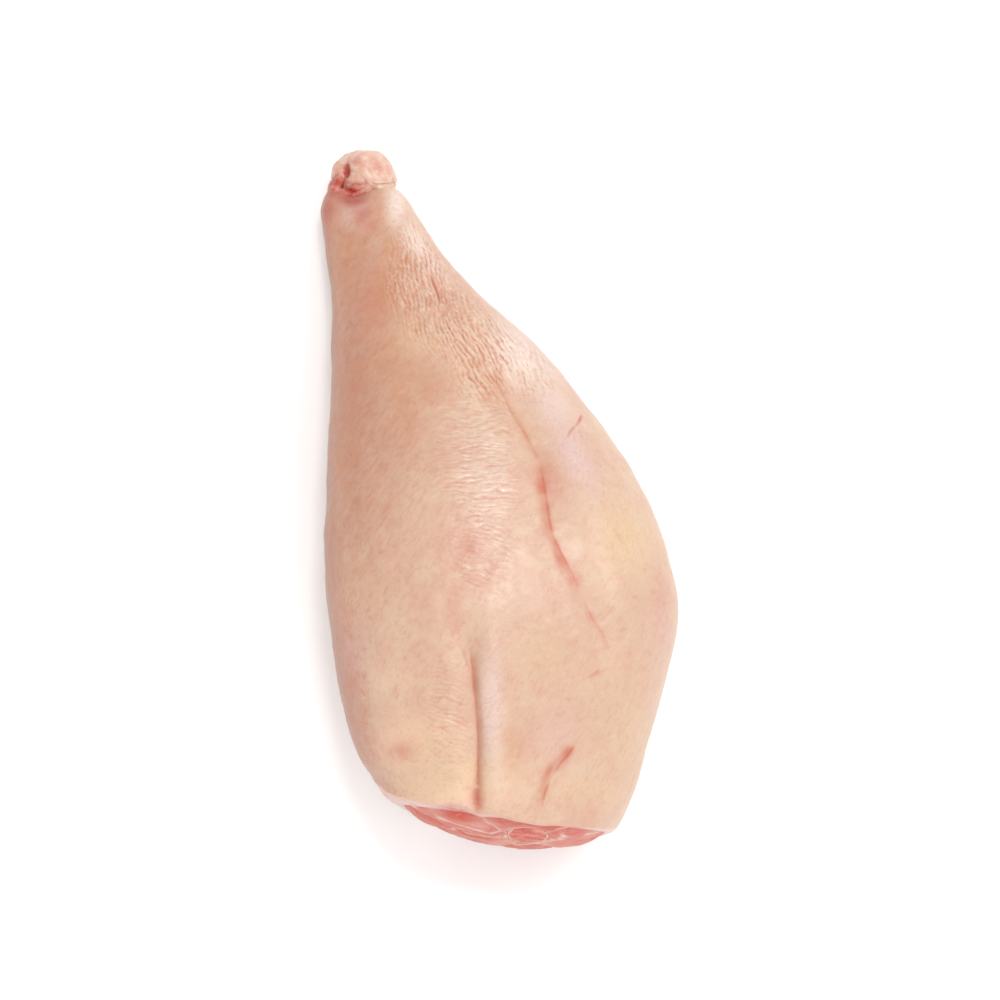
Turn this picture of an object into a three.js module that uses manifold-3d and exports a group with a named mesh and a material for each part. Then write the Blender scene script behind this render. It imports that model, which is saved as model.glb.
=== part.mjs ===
// Raw bone-in pork leg, skin on, foot cut off at the hock, lying skin side up on its inner side.
// Millimetres, +Z up. +Y runs from the cut butt to the hock, +X to the fuller side of the thigh.
// Three solids: the jacket of skin and fat, the lean meat inside it, and the bone that runs through
// both. The lean and the bone show at the butt, and the bone's joint end shows at the hock.

import * as THREE from 'three';
import { mergeVertices } from 'three/addons/utils/BufferGeometryUtils.js';
import Module from 'manifold-3d';

const wasm = await Module();
wasm.setup();

const TURN = 2 * Math.PI;
const GAP = 0.3;

// Outline seen from above, height of the back and place of its crest, at stations from the butt to
// the hock. Belly is the lowest height before the flesh is pressed flat on the table.
const STATIONS = [
  { along: -262, left: -66, right: 60, height: 118, crest: 2, belly: -10 },
  { along: -235, left: -76, right: 83, height: 131, crest: 2, belly: -10 },
  { along: -208, left: -88, right: 96, height: 140, crest: 1, belly: -10 },
  { along: -180, left: -102, right: 104, height: 147, crest: 0, belly: -10 },
  { along: -144, left: -113, right: 114, height: 153, crest: -1, belly: -10 },
  { along: -108, left: -119, right: 124, height: 156, crest: -2, belly: -10 },
  { along: -87, left: -122, right: 128, height: 156, crest: -2, belly: -10 },
  { along: -36, left: -126, right: 120, height: 150, crest: -5, belly: -10 },
  { along: 0, left: -125, right: 106, height: 141, crest: -10, belly: -10 },
  { along: 37, left: -125, right: 85, height: 129, crest: -20, belly: -9 },
  { along: 75, left: -124, right: 60, height: 114, crest: -34, belly: -6 },
  { along: 114, left: -124, right: 33, height: 97, crest: -50, belly: -2 },
  { along: 154, left: -125, right: -10, height: 80, crest: -68, belly: 2 },
  { along: 178, left: -128, right: -32, height: 71, crest: -80, belly: 4 },
  { along: 209, left: -132, right: -54, height: 61, crest: -92, belly: 5 },
  { along: 228, left: -135, right: -65, height: 55, crest: -98, belly: 6 },
  { along: 250, left: -128, right: -76, height: 50, crest: -101, belly: 6 },
];
const SIDE_SHARE = { left: 0.46, right: 0.4 };
const BACK_FULLNESS = 2.3;
const BELLY_FULLNESS = 2.4;
// Half the height over which the belly turns softly into its flat spot.
const PRESS_TURN = 4;
// Sections have more corners over the back than under the belly.
const BACK_DENSITY = 0.4;

// Butt cut: a knife cut across the leg, skewed to its length and bowed, with the meat bulging out.
const CUT_ALONG = -220;
const CUT_SKEW = 0.145;
const CUT_BOW = 0.00032;
const CUT_HALF_WIDTH = 85;
const CUT_BULGE = 23;
const BULGE_HEIGHT = 42;
const BULGE_REACH = 100;
const CUT_SEARCH_STEPS = 6;

// Hock end: the skin stops in a wavy edge round the joint end of the bone.
const SKIN_END = 240;
const SKIN_WAVE = 3.5;
const SKIN_LIP = { length: 10, inward: 4 };

// Fat under the skin: thickest on the straight side and below, thinnest over the back.
const FAT = { mean: 10, leftward: 4.5, downward: 5 };
// The lean narrows to its end over the last share of its length.
const LEAN_END = 182;
const LEAN_TAPER = { from: 0.9, inward: 10 };

// Folds and swellings fade out down the sides, between these shares of the height.
const RELIEF_FADE = { none: 0.35, full: 0.65 };

// Folds that run in the skin of the back, as soft valleys: places from above, width and depth.
const FOLD_SPOTS = 30;
const FOLDS = [
  { name: 'tail fold', depth: 5, width: 8, path: [[-21, -116], [-18, -140], [-16, -180], [-15, -228]] },
  {
    name: 'flank fold', depth: 4.5, width: 10,
    path: [[14, 66], [27, 32], [32, 2], [37, -26], [46, -54], [58, -79], [74, -114]],
  },
  { name: 'rump fold', depth: 3, width: 9, path: [[60, -162], [46, -188], [34, -210], [28, -228]] },
  { name: 'knee fold', depth: 2.5, width: 8, path: [[-4, 84], [10, 76], [26, 66]] },
];

// Soft swellings and hollows of the back: place from above, reach across and along, and rise.
const SWELLINGS = [
  { name: 'thigh', across: 70, along: 10, reach: [28, 62], rise: 5 },
  { name: 'lip of the tail fold', across: -4, along: -172, reach: [10, 46], rise: 3.2 },
  { name: 'shin', across: -72, along: 176, reach: [16, 44], rise: 3.5 },
  { name: 'heel cord hollow', across: -108, along: 176, reach: [14, 34], rise: -2.5 },
  { name: 'knee', across: -20, along: 100, reach: [26, 26], rise: 2.5 },
  { name: 'hollow behind the knee', across: 32, along: 84, reach: [20, 26], rise: -3 },
  { name: 'flank hollow', across: 66, along: -196, reach: [22, 26], rise: -3 },
];

// Muscles of the butt cut: centre seen end on, across and up. Seams of fat part them.
const MUSCLES = [
  [-56, 58], [-24, 98], [-22, 48], [16, 110], [54, 88], [58, 44], [20, 16], [-28, 16],
];
const MUSCLE_RISE = 3.5;
const SEAM_REACH = 13;
const MUSCLE_FADE = 0.9;
// The muscles also sink towards the sawn bone, within this share of the bone's own size.
const BONE_SEAM = 0.6;

// Bone, from the sawn hip end at the butt to the joint end at the hock.
const BONE = [
  { along: -262, across: 19, up: 82, wide: 14.5, high: 28 },
  { along: -205, across: 19, up: 82, wide: 14.5, high: 28 },
  { along: -165, across: 13, up: 76, wide: 14, high: 22 },
  { along: -115, across: 4, up: 67, wide: 14, high: 15 },
  { along: -20, across: -22, up: 62, wide: 14, high: 14 },
  { along: 40, across: -44, up: 56, wide: 19, high: 17 },
  { along: 85, across: -60, up: 48, wide: 26, high: 22 },
  { along: 125, across: -75, up: 40, wide: 17, high: 15 },
  { along: 190, across: -96, up: 34, wide: 12, high: 11 },
  { along: 222, across: -101, up: 30, wide: 15, high: 14 },
  { along: 240, across: -102, up: 28, wide: 22.5, high: 19.5 },
  { along: 252, across: -102, up: 28, wide: 24, high: 20.5 },
];
const BONE_TIP = 271;
const HEAD_START = 252;
const HEAD_ROUNDNESS = 0.72;
const TIP_DOME = 2.5;
const HEAD_DENSITY = 1.8;

// Knobs and grooves of the joint end: direction round the head, place along it, reach and rise.
const KNOBS = [
  { turn: 0.78, along: 260, reach: [0.07, 7], rise: 4.5 },
  { turn: 0.02, along: 264, reach: [0.08, 8], rise: 4 },
  { turn: 0.16, along: 258, reach: [0.06, 9], rise: 3 },
  { turn: 0.3, along: 254, reach: [0.06, 8], rise: 2.5 },
  { turn: 0.55, along: 260, reach: [0.09, 9], rise: 3.5 },
  { turn: 0.9, along: 254, reach: [0.05, 14], rise: -5 },
  { turn: 0.23, along: 262, reach: [0.04, 10], rise: -3 },
  { turn: 0.43, along: 258, reach: [0.05, 12], rise: -4 },
  { turn: 0.67, along: 262, reach: [0.04, 10], rise: -3 },
];

// Cutters run on past the butt by these lengths, and at their rim only by a share of them.
const OVERSHOOT = { bone: 12, lean: 5, rimShare: 0.15 };
// Rings along the sides of the solids stand closer together at both ends.
const END_DENSITY = 0.35;

const COLOURS = { skin: '#e6bfa4', lean: '#c46f62', bone: '#ecccb6' };

const clamp = THREE.MathUtils.clamp;
const smooth = (low, high, value) => THREE.MathUtils.smoothstep(value, low, high);
const bell = (distance, reach) => Math.exp(-((distance / reach) ** 2));

/** Smooth curves through the named columns of a table of stations, read by their place along. */
function curvesThrough(stations) {
  const columns = Object.keys(stations[0]).filter((name) => name !== 'along');
  const places = stations.map((station) => station.along);
  const values = stations.flatMap((station) => columns.map((name) => station[name]));
  const curve = new THREE.CubicInterpolant(places, values, columns.length);
  const [first, last] = [places[0], places[places.length - 1]];
  return (along) => {
    const found = curve.evaluate(clamp(along, first, last));
    return Object.fromEntries(columns.map((name, i) => [name, found[i]]));
  };
}

const outlineAt = curvesThrough(STATIONS);
const boneAt = curvesThrough(BONE);

/** Where the butt is cut, along the leg, at a place across and up. */
function cutAlong(across, up) {
  const middle = 1 - (across / CUT_HALF_WIDTH) ** 2;
  const bulge = CUT_BULGE * bell(up - BULGE_HEIGHT, BULGE_REACH);
  return CUT_ALONG - CUT_SKEW * across - CUT_BOW * across ** 2 - bulge * middle;
}

/** Unfolds a fold's path to closely spaced spots on a smooth curve. */
function spotsOf(fold) {
  const curve = new THREE.CatmullRomCurve3(fold.path.map(([x, y]) => new THREE.Vector3(x, y, 0)));
  return curve.getSpacedPoints(FOLD_SPOTS);
}

const folds = FOLDS.map((fold) => ({ ...fold, spots: spotsOf(fold) }));

/** How far the skin of the back stands in or out at a place seen from above. */
function backRelief(across, along) {
  let relief = 0;
  for (const { depth, width, spots } of folds) {
    const apart = spots.map((spot) => Math.hypot(spot.x - across, spot.y - along));
    relief -= depth * bell(Math.min(...apart), width);
  }
  for (const swelling of SWELLINGS) {
    const acrossShare = (across - swelling.across) / swelling.reach[0];
    const alongShare = (along - swelling.along) / swelling.reach[1];
    relief += swelling.rise * Math.exp(-(acrossShare ** 2) - alongShare ** 2);
  }
  return relief;
}

/** Flattens what would sink below a floor, with a soft turn into the flat. */
function pressed(up, floor) {
  const above = up - floor;
  if (above >= PRESS_TURN) return up;
  if (above <= -PRESS_TURN) return floor;
  return floor + (above + PRESS_TURN) ** 2 / (4 * PRESS_TURN);
}

/** Rounds a sine or cosine out towards a fuller, squarer form. */
const fuller = (value, fullness) => Math.sign(value) * Math.abs(value) ** (2 / fullness);

/**
 * Point of the leg's cross-section: turn 0 is the crest of the back, and turns run over +X.
 * Inward is the share of the way out from the middle, and inset is taken off all round.
 */
function sectionPoint(turn, along, inward, inset) {
  const { left, right, height, crest, belly } = outlineAt(along);
  const angle = TURN * turn - BACK_DENSITY * Math.sin(TURN * turn);
  const sideways = Math.sin(angle);
  const upward = Math.cos(angle);
  const side = height * (sideways > 0 ? SIDE_SHARE.right : SIDE_SHARE.left);
  const middle = height * (SIDE_SHARE.right + SIDE_SHARE.left) / 2;
  const sideHeight = THREE.MathUtils.lerp(middle, side, Math.abs(sideways));
  const fullness = upward > 0 ? BACK_FULLNESS : BELLY_FULLNESS;
  const reach = sideways > 0 ? right - crest : crest - left;
  let x = crest + reach * fuller(sideways, fullness);
  let z = sideHeight + (upward > 0 ? height - sideHeight : sideHeight - belly) * fuller(upward, fullness);
  const relief = backRelief(x, along) * smooth(RELIEF_FADE.none, RELIEF_FADE.full, z / height);
  const out = Math.hypot(x - crest, z - middle);
  const share = inward * (out + relief - inset) / out;
  x = crest + (x - crest) * share;
  z = middle + (z - middle) * share;
  return { x, z: pressed(z, inward * inset) };
}

/** The same point on the cut at the butt, found by stepping to where the section meets it. */
function cutPoint(turn, inward, inset) {
  let along = CUT_ALONG;
  let point;
  for (let step = 0; step < CUT_SEARCH_STEPS; step++) {
    point = sectionPoint(turn, along, inward, inset);
    along = cutAlong(point.x, point.z);
  }
  return { ...point, y: along };
}

/** How far the cut muscles stand out of the butt, each one domed and parted by sunk seams. */
function muscleRelief(across, up) {
  const [near, next] = MUSCLES.map(([x, z]) => Math.hypot(x - across, z - up)).sort((a, b) => a - b);
  const [sawn] = BONE;
  const outsideBone = Math.hypot((across - sawn.across) / sawn.wide, (up - sawn.up) / sawn.high) - 1;
  return MUSCLE_RISE * smooth(0, SEAM_REACH, next - near) * smooth(0, BONE_SEAM, outsideBone);
}

/** Steps along the side of a drum, closer together at both ends. */
const closerAtEnds = (step) => step - END_DENSITY * Math.sin(TURN * step) / TURN;

/**
 * A closed solid from a lathed unit drum: its profile runs from the axis over one end, along the
 * side and over the other end, and place(turn, inward, share) puts each vertex where it belongs.
 */
function drumSolid({ segments, firstRings, sideSteps, lastRings, share = closerAtEnds, place }) {
  const profile = [
    ...firstRings.map((inward) => new THREE.Vector2(inward, 0)),
    ...Array.from({ length: sideSteps + 1 }, (_, i) => new THREE.Vector2(1, share(i / sideSteps))),
    ...lastRings.map((inward) => new THREE.Vector2(inward, 1)),
  ];
  const geometry = new THREE.LatheGeometry(profile, segments);
  const position = geometry.getAttribute('position');
  for (let i = 0; i < position.count; i++) {
    const column = Math.floor(i / profile.length) % segments;
    const ring = profile[i % profile.length];
    const { x, y, z } = place(column / segments, ring.x, ring.y);
    position.setXYZ(i, x, y, z);
  }
  return solidOf(geometry);
}

/** A geometry's closed surface as a manifold-3d solid, without the faces that collapsed at its poles. */
function solidOf(geometry) {
  geometry.deleteAttribute('normal');
  geometry.deleteAttribute('uv');
  const merged = mergeVertices(geometry, 1e-3);
  const corners = merged.index.array;
  const triVerts = [];
  for (let i = 0; i < corners.length; i += 3) {
    const [a, b, c] = corners.slice(i, i + 3);
    if (a !== b && b !== c && c !== a) triVerts.push(a, b, c);
  }
  const solid = new wasm.Manifold(new wasm.Mesh({
    numProp: 3,
    vertProperties: merged.getAttribute('position').array,
    triVerts: new Uint32Array(triVerts),
  }));
  if (solid.volume() < 0) throw new Error('a drum is inside out');
  return solid;
}

/** The whole leg's outer form, skin all round, with its lip drawn in at the hock. */
function outerForm() {
  return drumSolid({
    segments: 76,
    firstRings: [0, 0.75, 0.86, 0.93, 0.975],
    sideSteps: 42,
    lastRings: [0.8, 0],
    place(turn, inward, share) {
      const rim = cutPoint(turn, inward, 0);
      if (share === 0) return rim;
      const end = SKIN_END - SKIN_WAVE * Math.cos(2 * TURN * turn) + Math.sin(3 * TURN * turn);
      const along = THREE.MathUtils.lerp(rim.y, end, share);
      const lip = SKIN_LIP.inward * smooth(end - SKIN_LIP.length, end, along);
      return { ...sectionPoint(turn, along, inward, lip), y: along };
    },
  });
}

/** The lean meat's form. A cutter is larger by its gap and runs on past the butt. */
function leanForm({ gap = 0, overshoot = 0 } = {}) {
  return drumSolid({
    segments: 44,
    firstRings: [0, 0.14, 0.26, 0.37, 0.47, 0.56, 0.65, 0.74, 0.82, 0.89, 0.95],
    sideSteps: 13,
    lastRings: [0.6, 0],
    place(turn, inward, share) {
      const angle = TURN * turn;
      const fat = FAT.mean - FAT.leftward * Math.sin(angle) - FAT.downward * Math.cos(angle);
      const inset = fat - gap;
      const rim = cutPoint(turn, inward, inset);
      if (share === 0 && overshoot) {
        const along = rim.y - overshoot * (inward < 1 ? 1 : OVERSHOOT.rimShare);
        return { ...sectionPoint(turn, along, inward, inset), y: along };
      }
      if (share === 0) {
        const standing = 1 - smooth(MUSCLE_FADE, 1, inward);
        return { ...rim, y: rim.y - standing * muscleRelief(rim.x, rim.z) };
      }
      const along = THREE.MathUtils.lerp(rim.y, LEAN_END + gap, share);
      const closing = LEAN_TAPER.inward * smooth(LEAN_TAPER.from, 1, share);
      return { ...sectionPoint(turn, along, inward, inset + closing), y: along };
    },
  });
}

/** How far a knob or groove lifts the joint end of the bone. */
function knobRelief(turn, along) {
  return KNOBS.reduce((sum, knob) => {
    const apart = Math.abs(((turn - knob.turn + 1.5) % 1) - 0.5);
    return sum + knob.rise * bell(apart, knob.reach[0]) * bell(along - knob.along, knob.reach[1]);
  }, 0);
}

/** The bone's form. A cutter is larger by its gap and runs on past the butt. */
function boneForm({ gap = 0, overshoot = 0 } = {}) {
  return drumSolid({
    segments: 22,
    firstRings: [0, 0.4, 0.75, 0.94],
    sideSteps: 26,
    lastRings: [0.8, 0.45, 0],
    share: (step) => 1 - (1 - step) ** HEAD_DENSITY,
    place(turn, inward, share) {
      const angle = TURN * turn;
      const butt = boneAt(CUT_ALONG);
      const spot = (bone, out) => ({
        x: bone.across + out * (bone.wide + gap) * Math.sin(angle),
        z: bone.up + out * (bone.high + gap) * Math.cos(angle),
      });
      const rim = spot(butt, inward);
      const start = cutAlong(rim.x, rim.z);
      if (share === 0) return { ...rim, y: start - overshoot * (inward < 1 ? 1 : OVERSHOOT.rimShare) };
      const along = THREE.MathUtils.lerp(start, BONE_TIP + gap, share);
      const bone = boneAt(along);
      const roundness = clamp((along - HEAD_START) / (BONE_TIP - HEAD_START), 0, 1);
      const out = inward * Math.sqrt(1 - HEAD_ROUNDNESS * roundness ** 2);
      const lift = 1 + knobRelief(turn, along) * inward / bone.wide;
      const dome = TIP_DOME * (1 - inward) * roundness;
      return { ...spot(bone, out * lift), y: along + dome };
    },
  });
}

/** A named mesh of a solid, in its own colour. */
function meshOf(name, solid, colour, roughness) {
  const { vertProperties, triVerts } = solid.getMesh();
  const geometry = new THREE.BufferGeometry();
  geometry.setAttribute('position', new THREE.BufferAttribute(vertProperties, 3));
  geometry.setIndex(new THREE.BufferAttribute(triVerts, 1));
  geometry.computeVertexNormals();
  const material = new THREE.MeshStandardMaterial({ color: colour, roughness, metalness: 0 });
  const mesh = new THREE.Mesh(geometry, material);
  mesh.name = name;
  return mesh;
}

const boneCutter = boneForm({ gap: GAP, overshoot: OVERSHOOT.bone });
const leanCutter = leanForm({ gap: GAP, overshoot: OVERSHOOT.lean });
const jacket = outerForm().subtract(leanCutter).subtract(boneCutter);
const lean = leanForm().subtract(boneCutter);

const leg = new THREE.Group();
leg.add(
  meshOf('skin_and_fat', jacket, COLOURS.skin, 0.45),
  meshOf('lean_meat', lean, COLOURS.lean, 0.35),
  meshOf('leg_bone', boneForm(), COLOURS.bone, 0.5),
);

// The origin is the middle of the footprint, on the table.
const box = new THREE.Box3().setFromObject(leg);
const middle = box.getCenter(new THREE.Vector3());
leg.position.set(-middle.x, -middle.y, -box.min.z);

export default leg;
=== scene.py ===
# Raw bone-in pork leg, skin on, foot off at the hock, lying skin side up: its looks round the frame.
# Metres, +Z up. +Y runs from the butt cut to the hock, +X to the fuller side of the thigh.

import math

import bmesh
import bpy
import numpy as np
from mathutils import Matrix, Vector, noise
from mathutils.bvhtree import BVHTree
from mathutils.kdtree import KDTree


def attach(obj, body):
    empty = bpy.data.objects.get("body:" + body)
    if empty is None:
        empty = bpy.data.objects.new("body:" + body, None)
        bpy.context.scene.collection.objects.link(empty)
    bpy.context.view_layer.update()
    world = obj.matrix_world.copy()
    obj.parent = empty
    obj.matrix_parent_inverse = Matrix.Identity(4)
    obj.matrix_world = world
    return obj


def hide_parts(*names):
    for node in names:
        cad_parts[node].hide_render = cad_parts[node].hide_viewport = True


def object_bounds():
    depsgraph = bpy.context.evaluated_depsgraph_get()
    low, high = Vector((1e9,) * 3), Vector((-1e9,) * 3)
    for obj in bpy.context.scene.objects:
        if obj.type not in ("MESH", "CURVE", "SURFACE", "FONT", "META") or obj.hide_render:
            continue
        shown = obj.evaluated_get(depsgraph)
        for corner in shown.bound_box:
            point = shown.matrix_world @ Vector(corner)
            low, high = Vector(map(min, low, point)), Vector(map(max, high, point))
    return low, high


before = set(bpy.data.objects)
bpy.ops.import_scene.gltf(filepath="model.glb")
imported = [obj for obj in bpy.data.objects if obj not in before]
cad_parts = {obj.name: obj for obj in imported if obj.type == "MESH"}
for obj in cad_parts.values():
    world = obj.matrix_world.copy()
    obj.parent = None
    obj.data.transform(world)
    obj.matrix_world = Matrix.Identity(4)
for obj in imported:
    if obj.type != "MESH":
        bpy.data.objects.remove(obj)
cad_low, cad_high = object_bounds()
MM = 0.001

# Camera. It looks down on the leg from high above the butt, so that the hock is at the top of the
# picture and the butt cut shows only as a thin crescent at its foot.
CAMERA_ELEVATION = 80
CAMERA_DISTANCE = 1.92
CAMERA_LENS = 96
AIM_INSIDE_LEFT = 0.1349
AIM_BELOW_HOCK_TIP = 0.2735
AIM_HEIGHT = 0.067


def add_object(name, data):
    """A new object at the origin of the scene."""
    added = bpy.data.objects.new(name, data)
    bpy.context.scene.collection.objects.link(added)
    return added


tilt = math.radians(90 - CAMERA_ELEVATION)
aim = Vector((cad_low.x + AIM_INSIDE_LEFT, cad_high.y - AIM_BELOW_HOCK_TIP, AIM_HEIGHT))
camera_data = bpy.data.cameras.new("camera")
camera_data.lens = CAMERA_LENS
camera_data.clip_end = 20
camera = add_object("camera", camera_data)
camera.location = aim + CAMERA_DISTANCE * Vector((0, -math.sin(tilt), math.cos(tilt)))
camera.rotation_euler = (tilt, 0, 0)
bpy.context.scene.camera = camera

# Skin and fat. The jacket of raw, scalded skin over its layer of fat is one piece with the form of its
# solid. Its skin lies in fine wrinkles along the shank and across the crest of the thigh, and a few
# folds run into it. The knife left the fat bare round the butt, and a thin edge of skin at the hock.
SKIN_WALL, FAT_WALL, HIDDEN_WALL = 0, 1, 2
MERGED_WITHIN = 0.01 * MM
QUADS_BEND, QUADS_SKEW = math.radians(40), math.radians(60)
TARGET_LEVELS = 3

# The hidden inner wall touches the lean or the bone and faces against it. The bare fat faces along the
# leg, near its ends. What is hidden sinks in beyond its border, fully from the second distance on.
CONTACT = 2.5 * MM
AGAINST = -0.3
RIM_FACING = 0.75
RIM_WITHIN = 60 * MM
HIDDEN_SUNK = 3 * MM
SUNK_FROM, SUNK_TO = 2 * MM, 25 * MM

# Folds of the back, in millimetres seen from above: a crease, and a lip that rises beside it over the
# width of its wall and sinks away over its roll. Side is 1 where the lip is to the left of one who
# walks along the path. Rise and fall are the shares of the path where a fold begins and ends. Blotchy
# is how far the red-brown of the crease comes and goes, and one more width says how far it spreads
# beside the crease. That red-brown is partly the skin's own redness and partly painted shade in the
# fold. What a fold doesn't say is as usual.
USUAL_FOLD = dict(side=1, lip=0.2, wall=1.5, roll=3, rise=(0, 0.3), fall=(1, 0.7), blotchy=0.4)
FOLDS = {
    "tail fold": dict(
        path=[(-19, -126), (-16.2, -137), (-13.5, -164), (-12, -182), (-11.5, -200), (-12.2, -238)],
        depth=1.5, core=0.9, lip=2.3, wall=5, roll=11, crease=0.72, stain_and_shade=4.5, fall=(1.2, 1.05),
        blotchy=0.2,
    ),
    "tail fold branch": dict(
        path=[(-24, -127), (-20, -138), (-16, -150)], depth=0.9, core=0.7, lip=0.5, crease=0.4,
        stain_and_shade=1.5, blotchy=0.2,
    ),
    "flank fold": dict(
        path=[(31, 6), (33.5, -12), (36, -28), (39, -47), (45, -62), (54, -80), (60, -95), (66, -108)],
        depth=0.55, core=1.5, side=-1, lip=0.5, wall=4, roll=9, crease=0.85, stain_and_shade=5.5, rise=(0, 0.08),
        fall=(1.2, 0.6), blotchy=0.7,
    ),
    "end of the flank fold": dict(
        path=[(60, -95), (66, -107), (73, -118), (77, -127), (76, -134)], depth=0.2, core=1.8, side=-1,
        wall=3, roll=6, crease=0.5, stain_and_shade=4, fall=(1.1, 0.7), blotchy=1.1,
    ),
    "spot below the flank fold": dict(
        path=[(61, -150), (68, -147), (74, -141)], depth=0.2, core=1.7, side=-1, wall=3, roll=6,
        crease=0.6, stain_and_shade=3,
    ),
    "flank valley": dict(
        path=[(6, 56), (15, 36), (24, 20), (30, 6)], depth=0.7, core=2.0, side=-1, lip=0.6, wall=3,
        roll=6, crease=0.42, stain_and_shade=2.5, fall=(1.1, 0.9), blotchy=0.5,
    ),
    "rump fold": dict(
        path=[(80, -170), (70, -180), (60, -187), (50, -201), (44, -208), (36, -222), (31.5, -236)],
        depth=0.45, core=1.3, side=-1, lip=0.3, wall=2.5, roll=5, crease=0.65, stain_and_shade=5, rise=(0, 0.35),
        fall=(1.1, 0.9), blotchy=1.2,
    ),
    "rump fold branch": dict(
        path=[(60, -181), (55, -188), (50, -196)], depth=0.4, core=0.8, crease=0.5, stain_and_shade=2,
        rise=(0, 0.35), fall=(1, 0.6), blotchy=1.2,
    ),
    "thigh line": dict(
        path=[(62, 47), (59, 37), (53, 28), (49, 19)], depth=0.35, core=0.7, crease=0.85, stain_and_shade=1.2,
        rise=(0, 0.2),
    ),
    "knee fold": dict(
        path=[(-8, 80), (2, 62), (12, 44), (20, 30)], depth=0.9, core=1.2, lip=0.9, wall=2.5, roll=5,
        crease=0.4, stain_and_shade=2.4, blotchy=0.6,
    ),
    "knee pleat": dict(
        path=[(-30, 112), (-18, 94), (-8, 78)], depth=0.7, core=0.9, lip=0.6, wall=2, roll=4,
        crease=0.3, stain_and_shade=2, fall=(1, 0.6), blotchy=0.6,
    ),
    "shank thread": dict(
        path=[(-49, 162), (-46, 148), (-42, 137), (-38, 128), (-33, 121)], depth=0.5, core=0.7, roll=2,
        crease=0.8, stain_and_shade=1.6, fall=(1, 0.5), blotchy=0.7,
    ),
}

# How much a fold's depth and red-brown vary, in lumps of a size in millimetres. The red-brown that
# spreads beside the crease, towards the lip, is weaker than the crease's own; it is partly redness and
# partly painted shade on the fold's wall.
FOLD_RAGGED = {"size": 12, "by": 0.4}
FOLD_BLOTCHES = {"size": 11, "by": 1.5}
STAIN_AND_SHADE_SHARE, STAIN_AND_SHADE_BESIDE = 0.62, 0.35

# Fields of fine wrinkles, which lie in a web of wavering rows: middle and reach from above, which way
# they run (degrees from +Y towards +X), their spacing, length and depth in millimetres.
WRINKLES = {
    "shank": dict(at=(-54, 152), reach=(26, 46), run=-8, spacing=3.1, length=12, depth=0.9),
    "above the knee": dict(at=(-34, 116), reach=(28, 34), run=-17, spacing=3.1, length=13, depth=0.95),
    "knee": dict(at=(-7, 88), reach=(25, 42), run=-30, spacing=3.5, length=14, depth=1.05),
    "crest": dict(at=(-12, 4), reach=(30, 68), run=86, spacing=3.5, length=8, depth=0.6),
    "low crest": dict(at=(-12, -62), reach=(26, 38), run=112, spacing=3.7, length=8, depth=0.46),
    "by the tail fold": dict(at=(-32, -176), reach=(17, 44), run=112, spacing=3.2, length=12, depth=0.5),
    "tail fold lip": dict(at=(-1, -172), reach=(8, 42), run=50, spacing=3.0, length=5, depth=0.4),
    "left side": dict(at=(-88, 30), reach=(32, 110), run=34, spacing=5.0, length=10, depth=0.26),
    "left rump": dict(at=(-70, -180), reach=(34, 44), run=104, spacing=5.0, length=12, depth=0.25),
    "pale bump": dict(at=(26, 78), reach=(18, 28), run=-14, spacing=4.0, length=12, depth=0.5),
    "lilac patch": dict(at=(56, 14), reach=(14, 34), run=4, spacing=4.0, length=7, depth=0.3),
    "flank": dict(at=(52, -150), reach=(40, 60), run=62, spacing=5.5, length=9, depth=0.22),
}
WRINKLED = 0.14
FIELD_GAIN, FIELD_EDGE = 1.25, 1.5

# Rows along the leg are regular, while rows across it are more ragged, sway more and get weaker
# painted shade and highlight. Rows waver by so much at each size, in millimetres. A finer web lies
# over them, and they come and go.
ROWS = {
    "lengthwise": dict(regular=0.34, ragged=0.5, sway=1, colour=1),
    "crosswise": dict(regular=0.26, ragged=0.65, sway=1.6, colour=0.8),
}
WAVERS = ((22, 4.0), (7, 1.3))
WEB_PITCH, WEB_HEIGHT = 1.3, 60
FINER_WEB = {"share": 0.2, "finer": (1.8, 2, 1)}
PATCHY = {"size": 15, "middle": 0.85, "swing": 0.7, "least": 0.4, "most": 1.2}
WAVE_FLOOR, WAVE_MIDDLE = 0.05, 0.5
VALLEY_WAVE, RIDGE_WAVE = (0.42, 0.15), (0.6, 0.85)

# Depths in millimetres from which wrinkles have their full painted shade and highlight, and between
# which they get streaks, whose dark and pale lines are painted shade and highlight too.
COLOURED_DEPTH, STREAKED_DEPTH = 0.7, (0.3, 0.6)

# Lumps of the skin, size and height in millimetres. Then how far up it has to face for relief and for
# tints, and how far to the left for the painted shade of its left side and for the darkest painted
# shade, on its far left.
LUMPS = ((24, 0.9), (10, 0.35), (4.5, 0.1))
UPPER_SIDE, TINTED_SIDE = (-0.1, 0.35), (-0.6, 0.1)
SHADED_SIDE, FAR_SIDE = (-0.55, -0.95), (-0.8, -1.0)

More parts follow.
